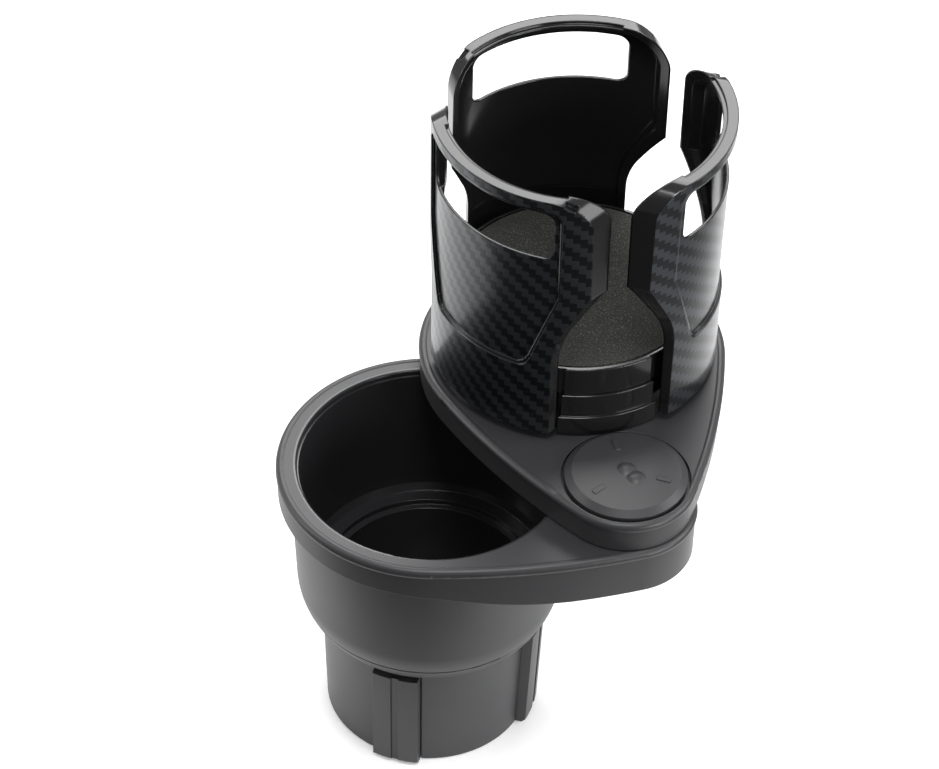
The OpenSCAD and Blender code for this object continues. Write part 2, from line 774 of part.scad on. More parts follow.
module platform() {
    zb = tier_z[1];
    zt = tier_z[2];
    seat_z = zt - 4.2;
    color("#161617")
    translate([drum_x, drum_y, 0])
        difference() {
            union() {
                difference() {
                    rotate_extrude($fn = 180)
                        polygon([[0, seat_z - 2.2], [39.0, seat_z - 2.2], [39.0, zb], [tier_r[2] - 0.2, zb],
                                 [tier_r[2], zb + 0.2], [tier_r[2], zt - 0.4], [tier_r[2] - 0.4, zt],
                                 [pad_r + 0.4, zt],
                                 [pad_r + 0.4, seat_z], [0, seat_z]]);
                    leg_pockets(zb - 1, zt + 1, 41.1);
                }
                for (a = petal_angles)
                    rotate([0, 0, a + 60])
                        translate([30, 0, deck_z + deck_t])
                            cylinder(r = 3.6, h = seat_z - 1 - deck_z - deck_t);
                translate([0, 0, seat_z - 3.4]) rotate_extrude() translate([20, 0]) square([1.6, 2]);
            }
            for (a = petal_angles)
                rotate([0, 0, a + 60]) translate([30, 0, deck_z]) cylinder(r = 1.3, h = 12, $fn = 24);
        }
}

module platform_screws() {
    color("#9a9c9e")
    for (a = petal_angles)
        translate([drum_x, drum_y, deck_z + 1.3])
            rotate([0, 0, a + 60]) translate([30, 0, 0])
                mirror([0, 0, 1]) screw(2.6, 1.1, 1.25, 10);
}

module pad() {
    zt = tier_z[2];
    color("#2f302c")
    translate([drum_x, drum_y, zt - 4.2])
        rotate_extrude($fn = 180)
            polygon([[0, 0], [pad_r, 0], [pad_r, 3.9], [pad_r - 0.6, 4.5], [0, 4.5]]);
}

// Face view of a petal: shoulders, slanting waist, leg. x is across, y is height.
module petal_outline(g = 0) {
    w = shoulder_w - g;
    l = leg_w - g;
    top = rim_z - g;
    rr = rim_round - g * 0.5;
    // leg
    translate([-l, petal_foot_z + g]) square([2 * l, shoulder_z - petal_foot_z]);
    // shoulders with round upper corners
    difference() {
        translate([-w, shoulder_z + g]) square([2 * w, top - shoulder_z - g]);
        for (s = [-1, 1])
            difference() {
                translate([s * (w - rr / 2 + 1), top - rr / 2 + 1]) square([rr + 2, rr + 2], center = true);
                translate([s * (w - rr), top - rr]) circle(r = rr, $fn = 96);
            }
    }
    // waist: a slant that runs into the leg by an arc
    arc_r = 36;
    arc_z = shoulder_z - 28;
    for (s = [-1, 1])
        difference() {
            polygon([[0, arc_z + g], [s * l, arc_z + g], [s * (l + 2.05), arc_z + 12 + g],
                     [s * (w - 0.4), shoulder_z - 0.6 + g],
                     [s * w, shoulder_z + 0.9 + g], [0, shoulder_z + 1 + g]]);
            translate([s * (l + arc_r), arc_z + g]) circle(r = arc_r, $fn = 180);
        }
}

module window_outline(g = 0) {
    w = window_w + g;
    r = 3.5;
    z0 = window_z - g;
    z1 = window_top + g;
    difference() {
        translate([-w, z0]) square([2 * w, z1 - z0]);
        for (s = [-1, 1])
            for (t = [0, 1])
                difference() {
                    translate([s * (w - r / 2 + 1), t == 0 ? z0 + r / 2 - 1 : z1 - r / 2 + 1])
                        square([r + 2, r + 2], center = true);
                    translate([s * (w - r), t == 0 ? z0 + r : z1 - r]) circle(r = r, $fn = 48);
                }
    }
}

// Sunken panel on the outer face: it runs round the window and narrows to a blunt foot.
module shield_outline(g = 0) {
    w = shield_w + g;
    z1 = window_top + 0.9 + g;
    fr = 4;
    foot_w = shield_foot_w + g;
    z0 = shield_z - g;
    difference() {
        polygon([[-w, z1], [-w, shoulder_z - 0.5], [-foot_w - 1.4, z0 + 3.4], [-foot_w - 1.4, z0],
                 [foot_w + 1.4, z0], [foot_w + 1.4, z0 + 3.4], [w, shoulder_z - 0.5], [w, z1]]);
        for (s = [-1, 1]) {
            difference() {
                translate([s * (foot_w + 1), z0 + 1]) square([fr * 1.5, 5], center = true);
                translate([s * (foot_w - fr + 1.2), z0 + fr]) circle(r = fr, $fn = 48);
                translate([s * (foot_w - fr - 2), z0 + 2]) square([8, 6], center = true);
            }
            difference() {
                translate([s * (w - 1), z1 - 1]) square([6, 6], center = true);
                translate([s * (w - 4), z1 - 4]) circle(r = 4, $fn = 48);
            }
        }
    }
}

// A flat outline thrown outward through the shell of one petal.
module thrown(r_from = 20, r_to = 60) {
    translate([r_from, 0, 0])
        rotate([90, 0, 90]) linear_extrude(r_to - r_from) children();
}

// Section of the whole petal: the edge flange is deep at the rim and thins down the waist.
module petal_section() {
    foot_z = petal_foot_z - 2;
    waist_z = shoulder_z - 24;
    polygon([[petal_foot_r - leg_depth, foot_z], [petal_foot_r, foot_z], [petal_rim_r, rim_z + 2],
             [petal_rim_r - petal_depth, rim_z + 2], [petal_rim_r - petal_depth, shoulder_z],
             [petal_foot_r - leg_depth, waist_z]]);
}

// Everything outside, or inside, the cone that lies a depth t under the petals' outer face.
module beyond(t) {
    polygon([[petal_foot_r - t, petal_foot_z - 2], [60, petal_foot_z - 2], [60, rim_z + 2],
             [petal_rim_r - t, rim_z + 2]]);
}

module within(t) {
    polygon([[30, petal_foot_z - 2], [petal_foot_r - t, petal_foot_z - 2],
             [petal_rim_r - t, rim_z + 2], [30, rim_z + 2]]);
}

// One petal, lying toward +X.
module petal_blade() {
    difference() {
        intersection() {
            rotate_extrude($fn = 240) petal_section();
            thrown() petal_outline();
        }
        // shallow pan behind the wall
        intersection() {
            rotate_extrude($fn = 240) within(petal_wall);
            thrown() petal_outline(2.4);
        }
        // window
        thrown() window_outline();
        // sunken panel outside, with a narrow ledge round it
        intersection() {
            rotate_extrude($fn = 240) beyond(shield_d);
            thrown() shield_outline();
        }
        intersection() {
            rotate_extrude($fn = 240) beyond(ledge_d);
            thrown() shield_outline(ledge_out);
        }
        // rebate along the rim's inner edge
        translate([0, 0, rim_z - 0.9])
            rotate([0, 0, -32])
                rotate_extrude(angle = 70, $fn = 240)
                    translate([petal_rim_r - petal_depth - 1, 0]) square([2.3, 3]);
        // small notch in the outer edge of one rounded corner
        rotate([0, 0, 39.5])
            translate([petal_rim_r - 2.4, 0, rim_z - 1.3])
                rotate([-24, 0, 0]) translate([0, -2, -0.8]) cube([6, 4, 3]);
    }
    // ledge under the rim, inside
    intersection() {
        rotate_extrude($fn = 240)
            translate([petal_rim_r - petal_wall - 1.3, rim_z - 4]) square([1.8, 2]);
        translate([0, -24, 0]) cube([60, 48, 300]);
    }
    // bar that reaches into the drum, with its pin
    translate([petal_pin_at - 3.4, -bar_w / 2, bar_z])
        cube([petal_foot_r - petal_wall + 0.6 - petal_pin_at + 3.4, bar_w, bar_t]);
    translate([petal_pin_at, 0, tray_top + 0.4]) cylinder(r = pin_r, h = bar_z - tray_top + 1, $fn = 48);
}

module petal(k) {
    color("#1c1c1e")
    translate([drum_x, drum_y, 0]) rotate([0, 0, petal_angles[k]]) petal_blade();
}

housing();
base_cam();
base_cam_screws();
base_washer();
base_screw();
slide_ring();
pivot_washer();
pivot_screw();
sleeve();
base_plate();
base_plate_screws();
fin(0);  // fin_1
fin(1);  // fin_2
fin(2);  // fin_3
fin_strip(0);  // fin_strip_1
fin_strip(1);  // fin_strip_2
fin_strip(2);  // fin_strip_3
tray();
friction_ring();
pivot_cap();
basket_scroll();
scroll_screws();
drum_washer();
drum_screw();
drum();
platform();
platform_screws();
pad();
petal(0);  // petal_1
petal(1);  // petal_2
petal(2);  // petal_3
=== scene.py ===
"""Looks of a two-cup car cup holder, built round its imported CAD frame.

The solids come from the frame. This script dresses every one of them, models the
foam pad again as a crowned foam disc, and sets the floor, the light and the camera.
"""

import logging
import math
from dataclasses import dataclass, field, replace
from enum import Enum

import bpy
from mathutils import Matrix, Vector

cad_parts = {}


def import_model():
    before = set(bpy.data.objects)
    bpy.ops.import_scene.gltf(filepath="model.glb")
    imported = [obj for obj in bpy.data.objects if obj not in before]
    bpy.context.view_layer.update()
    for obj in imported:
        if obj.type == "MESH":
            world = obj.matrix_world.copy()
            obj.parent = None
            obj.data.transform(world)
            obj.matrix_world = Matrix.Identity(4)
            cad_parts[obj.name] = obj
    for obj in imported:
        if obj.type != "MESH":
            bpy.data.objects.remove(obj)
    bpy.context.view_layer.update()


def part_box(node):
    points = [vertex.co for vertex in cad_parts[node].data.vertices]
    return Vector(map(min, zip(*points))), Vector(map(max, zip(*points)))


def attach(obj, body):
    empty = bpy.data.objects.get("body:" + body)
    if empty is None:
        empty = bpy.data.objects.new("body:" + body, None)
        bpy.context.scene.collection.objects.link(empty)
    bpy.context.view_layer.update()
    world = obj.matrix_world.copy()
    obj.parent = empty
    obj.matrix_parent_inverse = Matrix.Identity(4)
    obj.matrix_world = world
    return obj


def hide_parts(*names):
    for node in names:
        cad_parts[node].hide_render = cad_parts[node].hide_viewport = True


LOG = logging.getLogger("cup_holder")
MM = 0.001
DRUM_X = 31.9 * MM
DRUM_Y = 55.252 * MM
ARM_TOP = 116.9 * MM
MATH = "ShaderNodeMath"
VECTOR = "ShaderNodeVectorMath"
MIX = "ShaderNodeMix"
NOISE = "ShaderNodeTexNoise"
MAP = "ShaderNodeMapRange"
PLASTIC_IOR = 1.5
WHITE = (1.0, 1.0, 1.0, 1.0)


class Body(Enum):
    """The rigid bodies that pieces ride on."""

    HOLDER = "lower_holder"
    SLEEVE = "base_sleeve"
    ARM = "arm"
    DRUM = "basket_drum"


def linear(hex_colour: str) -> tuple[float, float, float, float]:
    """Turns an sRGB hex colour into the linear values that Blender's sockets take.

    Args:
        hex_colour: Six hex digits, without a mark in front.

    Returns:
        Red, green, blue and an alpha of one.
    """
    parts = [int(hex_colour[i : i + 2], 16) / 255 for i in (0, 2, 4)]
    r, g, b = (c / 12.92 if c <= 0.04045 else ((c + 0.055) / 1.055) ** 2.4 for c in parts)
    return (r, g, b, 1.0)


def add_node(
    tree: bpy.types.NodeTree,
    kind: str,
    settings: dict[str, object] | None = None,
    values: dict[object, object] | None = None,
    links: dict[object, object] | None = None,
) -> bpy.types.Node:
    """Adds one node with its settings, its socket values and the links into it.

    Args:
        tree: The node tree that gets the node.
        kind: Blender's type name of the node.
        settings: Properties of the node itself.
        values: Socket names or numbers, with the values they hold.
        links: Socket names or numbers, with the output sockets that feed them.

    Returns:
        The new node.
    """
    node = tree.nodes.new(kind)
    for name, value in (settings or {}).items():
        setattr(node, name, value)
    for key, value in (values or {}).items():
        node.inputs[key].default_value = value
    for key, source in (links or {}).items():
        tree.links.new(source, node.inputs[key])
    return node


def new_tree(name: str) -> tuple[bpy.types.Material, bpy.types.NodeTree, bpy.types.Node, bpy.types.Node]:
    """Starts a node material.

    Args:
        name: What the real material and its making are called.

    Returns:
        The material, its tree, its shader node and a texture coordinate node.
    """
    material = bpy.data.materials.new(name)
    material.use_nodes = True
    tree = material.node_tree
    shader = tree.nodes["Principled BSDF"]
    coords = add_node(tree, "ShaderNodeTexCoord")
    return material, tree, shader, coords


def radial(
    tree: bpy.types.NodeTree, place: bpy.types.NodeSocket
) -> tuple[bpy.types.NodeSocket, bpy.types.NodeSocket]:
    """Measures how far a point is from an upright axis, and how far its face looks outward.

    Args:
        tree: The node tree that gets the nodes.
        place: The point, measured from the axis.

    Returns:
        The distance in metres, and the outward share of the face's normal, from -1 to 1.
    """
    parts = add_node(tree, "ShaderNodeSeparateXYZ", links={0: place})
    away = add_node(
        tree, "ShaderNodeCombineXYZ", links={0: parts.outputs[0], 1: parts.outputs[1]}
    )
    reach = add_node(tree, VECTOR, {"operation": "LENGTH"}, links={0: away.outputs[0]})
    unit = add_node(tree, VECTOR, {"operation": "NORMALIZE"}, links={0: away.outputs[0]})
    # the normal is turned into the piece's own frame, so nothing changes when it moves
    geometry = add_node(tree, "ShaderNodeNewGeometry")
    own = add_node(
        tree,
        "ShaderNodeVectorTransform",
        {"vector_type": "NORMAL", "convert_from": "WORLD", "convert_to": "OBJECT"},
        links={0: geometry.outputs["True Normal"]},
    )
    facing = add_node(
        tree, VECTOR, {"operation": "DOT_PRODUCT"}, links={0: own.outputs[0], 1: unit.outputs[0]}
    )
    return reach.outputs["Value"], facing.outputs["Value"]


def deselect() -> None:
    """Leaves object mode with nothing selected."""
    if bpy.context.object and bpy.context.object.mode != "OBJECT":
        bpy.ops.object.mode_set(mode="OBJECT")
    bpy.ops.object.select_all(action="DESELECT")


def soften(node: str, width: float, angle: float = 32.0, segments: int = 3) -> None:
    """Breaks a CAD node's sharp edges with a small round, as every moulding has.

    Args:
        node: The CAD node's name.
        width: Width of the round, in metres.
        angle: Edges that turn by more than this many degrees are rounded.
        segments: Faces across the round.
    """
    obj = bpy.data.objects[node]
    bevel = obj.modifiers.new("edge_round", "BEVEL")
    bevel.limit_method = "ANGLE"
    bevel.angle_limit = math.radians(angle)
    bevel.width = width
    bevel.segments = segments
    bevel.use_clamp_overlap = True
    bevel.harden_normals = True


def dress(node: str, *materials: bpy.types.Material) -> None:
    """Gives a CAD node its finish.

    Args:
        node: The CAD node's name.
        materials: Its materials, the first one over all of its faces.
    """
    obj = bpy.data.objects[node]
    obj.data.materials.clear()
    for material in materials:
        obj.data.materials.append(material)
    LOG.info("dressed %s with %s", node, ", ".join(m.name for m in materials))


@dataclass(frozen=True)
class MouldedPlastic:
    """Injection-moulded plastic, glossy or with an eroded mould texture.

    The grain of an eroded mould is about 0.1 mm. It is drawn at grain_mm, coarse enough
    to show, and softens the highlight without hiding it. Melt flow gives the slow cloud
    in tone and gloss.
    """

    name: str
    colour: str
    shade: str
    roughness: float
    spread: float
    grain_mm: float
    grain_depth: float
    flow_mm: float = 60.0
    flow_depth: float = 0.0
    cloud: tuple[float, float] = (0.3, 0.7)
    edge_mm: float = 0.35
    edge_samples: int = 6
    bore_mm: float = 0.0
    bore_roughness: float = 0.2
    bore_facing: float = 0.3

    def build(self) -> bpy.types.Material:
        """Builds the node material.

        Returns:
            The material.
        """
        material, tree, shader, coords = new_tree(self.name)
        place = coords.outputs["Object"]
        cloud = add_node(
            tree,
            NOISE,
            values={"Scale": 1 / (self.flow_mm * MM), "Detail": 3.0, "Roughness": 0.55},
            links={"Vector": place},
        )
        grain = add_node(
            tree,
            NOISE,
            values={"Scale": 1 / (self.grain_mm * MM), "Detail": 2.0, "Roughness": 0.6},
            links={"Vector": place},
        )
        tone = add_node(
            tree,
            MIX,
            {"data_type": "RGBA"},
            {6: linear(self.colour), 7: linear(self.shade)},
            {0: cloud.outputs[0]},
        )
        tree.links.new(tone.outputs[2], shader.inputs["Base Color"])
        low, high = self.cloud
        rough = add_node(
            tree,
            MAP,
            values={1: low, 2: high, 3: self.roughness - self.spread, 4: self.roughness + self.spread},
            links={0: cloud.outputs[0]},
        )
        if self.bore_mm:
            # the core side of the mould is polished: inside this radius, on faces that
            # don't look outward, the grain's dullness stops
            reach, facing = radial(tree, place)
            near = add_node(
                tree, MATH, {"operation": "LESS_THAN"}, {1: self.bore_mm * MM}, {0: reach}
            )
            inward = add_node(
                tree, MATH, {"operation": "LESS_THAN"}, {1: self.bore_facing}, {0: facing}
            )
            inside = add_node(
                tree, MATH, {"operation": "MULTIPLY"}, links={0: near.outputs[0], 1: inward.outputs[0]}
            )
            rough = add_node(
                tree,
                MIX,
                {"data_type": "FLOAT"},
                {3: self.bore_roughness},
                {0: inside.outputs[0], 2: rough.outputs[0]},
            )
        tree.links.new(rough.outputs[0], shader.inputs["Roughness"])
        # every moulded edge is broken by a round of a few tenths of a millimetre
        edge = add_node(
            tree, "ShaderNodeBevel", {"samples": self.edge_samples}, {"Radius": self.edge_mm * MM}
        )
        bump = add_node(
            tree,
            "ShaderNodeBump",
            values={"Strength": 1.0, "Distance": self.grain_depth * MM},
            links={"Height": grain.outputs[0], "Normal": edge.outputs[0]},
        )
        if self.flow_depth:
            bump = add_node(
                tree,
                "ShaderNodeBump",
                values={"Strength": 1.0, "Distance": self.flow_depth * MM},
                links={"Height": cloud.outputs[0], "Normal": bump.outputs[0]},
            )
        tree.links.new(bump.outputs[0], shader.inputs["Normal"])
        shader.inputs["IOR"].default_value = PLASTIC_IOR
        return material


@dataclass(frozen=True)
class TwillPrint:
    """Carbon-look 2 by 2 twill film under a clear coat, on the petals' outer faces only.

    The weave runs round the petal: across is the arc length, up is the height. A cell is
    2.26 mm wide and 1.75 mm high. Cells differ in how strongly the thread reflects, so
    the weave fades where the petal mirrors something dark. The rest of a petal is plain
    gloss plastic.
    """

    name: str = "ABS, moulded, twill film"
    cell_mm: tuple[float, float] = (2.26, 1.75)
    radius_mm: float = 47.4
    threads: float = 7.0
    thread_shade: float = 0.86
    thread_relief: float = 0.08
    relief_mm: float = 0.02
    skin_mm: float = 45.2
    skin_facing: float = 0.93
    cone_mm: tuple[float, float] = (46.9, 47.9)
    cone_up_mm: tuple[float, float] = (1.1, 100.9)
    ledge_mm: float = 0.55
    ledge_slack_mm: float = 0.30
    bright: str = "44474b"
    dark: str = "232527"
    plain: str = "161617"
    metal: float = 0.85
    film_roughness: float = 0.42
    plain_roughness: float = 0.14
    coat: float = 0.35
    coat_roughness: float = 0.14
    level: float = 0.44
    edge_mm: float = 0.8
    edge_samples: int = 8

    def weave(
        self, tree: bpy.types.NodeTree, place: bpy.types.NodeSocket
    ) -> tuple[bpy.types.NodeSocket, bpy.types.NodeSocket]:
        """Draws the twill.

        Args:
            tree: The node tree that gets the nodes.
            place: The point, measured from the drum's axis.

        Returns:
            One where the crossing tow lies on top, and the wave of the fine threads in it.
        """
        parts = add_node(tree, "ShaderNodeSeparateXYZ", links={0: place})
        x, y, z = parts.outputs
        angle = add_node(tree, MATH, {"operation": "ARCTAN2"}, links={0: y, 1: x})
        cells_round = self.radius_mm / self.cell_mm[0]
        cells_up = 1 / (self.cell_mm[1] * MM)
        u = add_node(tree, MATH, {"operation": "MULTIPLY"}, {1: cells_round}, {0: angle.outputs[0]})
        v = add_node(tree, MATH, {"operation": "MULTIPLY"}, {1: cells_up}, {0: z})
        # two over, two under, one step to the side for each row
        column = add_node(tree, MATH, {"operation": "FLOOR"}, links={0: u.outputs[0]})
        row = add_node(tree, MATH, {"operation": "FLOOR"}, links={0: v.outputs[0]})
        step = add_node(
            tree, MATH, {"operation": "ADD"}, links={0: column.outputs[0], 1: row.outputs[0]}
        )
        # a little more than the quarter keeps whole steps off the rounding's edge
        quarter = add_node(
            tree, MATH, {"operation": "MULTIPLY_ADD"}, {1: 0.25, 2: 0.01}, {0: step.outputs[0]}
        )
        turn = add_node(tree, MATH, {"operation": "FRACT"}, links={0: quarter.outputs[0]})
        over = add_node(tree, MATH, {"operation": "LESS_THAN"}, {1: 0.5}, {0: turn.outputs[0]})
        # fine threads inside a tow, along the way that the tow runs
        along = add_node(
            tree,
            MIX,
            {"data_type": "FLOAT"},
            links={0: over.outputs[0], 2: u.outputs[0], 3: v.outputs[0]},
        )
        phase = add_node(
            tree, MATH, {"operation": "MULTIPLY"}, {1: self.threads * math.tau}, {0: along.outputs[0]}
        )
        thread = add_node(tree, MATH, {"operation": "SINE"}, links={0: phase.outputs[0]})
        return over.outputs[0], thread.outputs[0]

    def skin(self, tree: bpy.types.NodeTree, place: bpy.types.NodeSocket) -> bpy.types.NodeSocket:
        """Finds the printed faces.

        They lie outside skin_mm from the drum's axis and look outward. The narrow ledge
        round the sunken panel, ledge_mm under the tapered outer face, is bare plastic.

        Args:
            tree: The node tree that gets the nodes.
            place: The point, measured from the drum's axis.

        Returns:
            One on the printed faces, and nought elsewhere.
        """
        reach, facing = radial(tree, place)
        outward = add_node(
            tree, MATH, {"operation": "GREATER_THAN"}, {1: self.skin_facing}, {0: facing}
        )
        outer = add_node(
            tree, MATH, {"operation": "GREATER_THAN"}, {1: self.skin_mm * MM}, {0: reach}
        )
        shell = add_node(
            tree, MATH, {"operation": "MULTIPLY"}, links={0: outward.outputs[0], 1: outer.outputs[0]}
        )
        foot, top = (ARM_TOP + height * MM for height in self.cone_up_mm)
        slope = (self.cone_mm[1] - self.cone_mm[0]) * MM / (top - foot)
        base = self.cone_mm[0] * MM - foot * slope
        parts = add_node(tree, "ShaderNodeSeparateXYZ", links={0: place})
        wall = add_node(
            tree, MATH, {"operation": "MULTIPLY_ADD"}, {1: slope, 2: base}, {0: parts.outputs[2]}
        )
        depth = add_node(tree, MATH, {"operation": "SUBTRACT"}, links={0: wall.outputs[0], 1: reach})
        ledge = add_node(
            tree,
            MATH,
            {"operation": "COMPARE"},
            {1: self.ledge_mm * MM, 2: self.ledge_slack_mm * MM},
            {0: depth.outputs[0]},
        )
        printed = add_node(tree, MATH, {"operation": "SUBTRACT"}, {0: 1.0}, {1: ledge.outputs[0]})
        skin = add_node(
            tree, MATH, {"operation": "MULTIPLY"}, links={0: shell.outputs[0], 1: printed.outputs[0]}
        )
        return skin.outputs[0]

    def build(self) -> bpy.types.Material:
        """Builds the node material.

        Returns:
            The material.
        """
        material, tree, shader, coords = new_tree(self.name)
        centred = add_node(
            tree,
            VECTOR,
            {"operation": "SUBTRACT"},
            {1: (DRUM_X, DRUM_Y, 0.0)},
            {0: coords.outputs["Object"]},
        )
        over, thread = self.weave(tree, centred.outputs[0])
        skin = self.skin(tree, centred.outputs[0])
        tows = add_node(
            tree,
            MIX,
            {"data_type": "RGBA"},
            {6: linear(self.dark), 7: linear(self.bright)},
            {0: over},
        )
        ridge = add_node(
            tree, MAP, values={1: -1.0, 3: self.thread_shade, 4: 1.0}, links={0: thread}
        )
        threads = add_node(
            tree, VECTOR, {"operation": "SCALE"}, links={0: tows.outputs[2], 3: ridge.outputs[0]}
        )
        tone = add_node(
            tree,
            MIX,
            {"data_type": "RGBA"},
            {6: linear(self.plain)},
            {0: skin, 7: threads.outputs[0]},
        )
        tree.links.new(tone.outputs[2], shader.inputs["Base Color"])
        film = add_node(tree, MATH, {"operation": "MULTIPLY"}, {1: self.metal}, {0: skin})
        tree.links.new(film.outputs[0], shader.inputs["Metallic"])
        rough = add_node(
            tree,
            MIX,
            {"data_type": "FLOAT"},
            {2: self.plain_roughness, 3: self.film_roughness},
            {0: skin},
        )
        tree.links.new(rough.outputs[0], shader.inputs["Roughness"])
        height = add_node(
            tree, MATH, {"operation": "MULTIPLY_ADD"}, {1: self.thread_relief}, {0: thread, 2: over}
        )
        relief = add_node(
            tree, MATH, {"operation": "MULTIPLY"}, links={0: height.outputs[0], 1: skin}
        )
        edge = add_node(
            tree, "ShaderNodeBevel", {"samples": self.edge_samples}, {"Radius": self.edge_mm * MM}
        )
        bump = add_node(
            tree,
            "ShaderNodeBump",
            values={"Strength": 0.5, "Distance": self.relief_mm * MM},
            links={"Height": relief.outputs[0], "Normal": edge.outputs[0]},
        )
        tree.links.new(bump.outputs[0], shader.inputs["Normal"])
        # the film alone lies under a clear coat
        clear = add_node(tree, MATH, {"operation": "MULTIPLY"}, {1: self.coat}, {0: skin})
        tree.links.new(clear.outputs[0], shader.inputs["Coat Weight"])
        shader.inputs["IOR"].default_value = PLASTIC_IOR
        shader.inputs["Specular IOR Level"].default_value = self.level
        shader.inputs["Coat Roughness"].default_value = self.coat_roughness
        return material


@dataclass(frozen=True)
class SpeckledFoam:
    """Closed-cell EVA foam, skived from sheet: dull, with fine pale specks of cut cells."""

    name: str = "EVA foam, skived sheet"
    colour: str = "10110e"
    fleck: str = "4f5047"
    cell_mm: float = 0.55
    cell_depth_mm: float = 0.12
    fleck_mm: float = 0.42
    fleck_from: float = 0.53
    fleck_full: float = 0.74
    patch_mm: float = 9.0
    patch_tone: tuple[float, float] = (0.85, 1.1)
    roughness: tuple[float, float] = (0.82, 0.95)
    sheen: float = 0.06
    sheen_roughness: float = 0.6

    def build(self) -> bpy.types.Material:
        """Builds the node material.

        Returns:
            The material.
        """
        material, tree, shader, coords = new_tree(self.name)
        place = coords.outputs["Object"]
        cells = add_node(
            tree,
            "ShaderNodeTexVoronoi",
            {"feature": "F1"},
            {"Scale": 1 / (self.cell_mm * MM), "Randomness": 1.0},
            {"Vector": place},
        )
        patches = add_node(
            tree,
            NOISE,
            values={"Scale": 1 / (self.patch_mm * MM), "Detail": 4.0, "Roughness": 0.6},
            links={"Vector": place},
        )
        fine = add_node(
            tree,
            NOISE,
            values={"Scale": 1 / (self.fleck_mm * MM), "Detail": 1.0, "Roughness": 0.6},
            links={"Vector": place},
        )
        fleck = add_node(
            tree, MAP, values={1: self.fleck_from, 2: self.fleck_full}, links={0: fine.outputs[0]}
        )
        tone = add_node(
            tree,
            MIX,
            {"data_type": "RGBA"},
            {6: linear(self.colour), 7: linear(self.fleck)},
            {0: fleck.outputs[0]},
        )
        pale, deep = self.patch_tone
        shade = add_node(
            tree, MAP, values={1: 0.3, 2: 0.7, 3: pale, 4: deep}, links={0: patches.outputs[0]}
        )
        mixed = add_node(
            tree, VECTOR, {"operation": "SCALE"}, links={0: tone.outputs[2], 3: shade.outputs[0]}
        )
        tree.links.new(mixed.outputs[0], shader.inputs["Base Color"])
        low, high = self.roughness
        rough = add_node(tree, MAP, values={3: low, 4: high}, links={0: patches.outputs[0]})
        tree.links.new(rough.outputs[0], shader.inputs["Roughness"])
        bump = add_node(
            tree,
            "ShaderNodeBump",
            values={"Strength": 0.8, "Distance": self.cell_depth_mm * MM},
            links={"Height": cells.outputs["Distance"]},
        )
        tree.links.new(bump.outputs[0], shader.inputs["Normal"])
        shader.inputs["Sheen Weight"].default_value = self.sheen
        shader.inputs["Sheen Roughness"].default_value = self.sheen_roughness
        return material


@dataclass(frozen=True)
class PlatedSteel:
    """Steel screws and washers, barrel-plated with zinc: pale, slightly blue, finely scuffed."""

    name: str = "Steel, turned, zinc-plated"
    colour: str = "b9bbb8"
    shade: str = "8f9394"
    scuff_mm: float = 1.2
    scuff_depth_mm: float = 0.02
    roughness: tuple[float, float] = (0.24, 0.42)

    def build(self) -> bpy.types.Material:
        """Builds the node material.

        Returns:
            The material.
        """
        material, tree, shader, coords = new_tree(self.name)
        scuff = add_node(
            tree,
            NOISE,
            values={"Scale": 1 / (self.scuff_mm * MM), "Detail": 5.0, "Roughness": 0.65},
            links={"Vector": coords.outputs["Object"]},
        )
        tone = add_node(
            tree,
            MIX,
            {"data_type": "RGBA"},
            {6: linear(self.colour), 7: linear(self.shade)},
            {0: scuff.outputs[0]},
        )
        low, high = self.roughness
        rough = add_node(tree, MAP, values={3: low, 4: high}, links={0: scuff.outputs[0]})
        bump = add_node(
            tree,
            "ShaderNodeBump",
            values={"Strength": 0.5, "Distance": self.scuff_depth_mm * MM},
            links={"Height": scuff.outputs[0]},
        )
        tree.links.new(tone.outputs[2], shader.inputs["Base Color"])
        tree.links.new(rough.outputs[0], shader.inputs["Roughness"])
        tree.links.new(bump.outputs[0], shader.inputs["Normal"])
        shader.inputs["Metallic"].default_value = 1.0
        return material


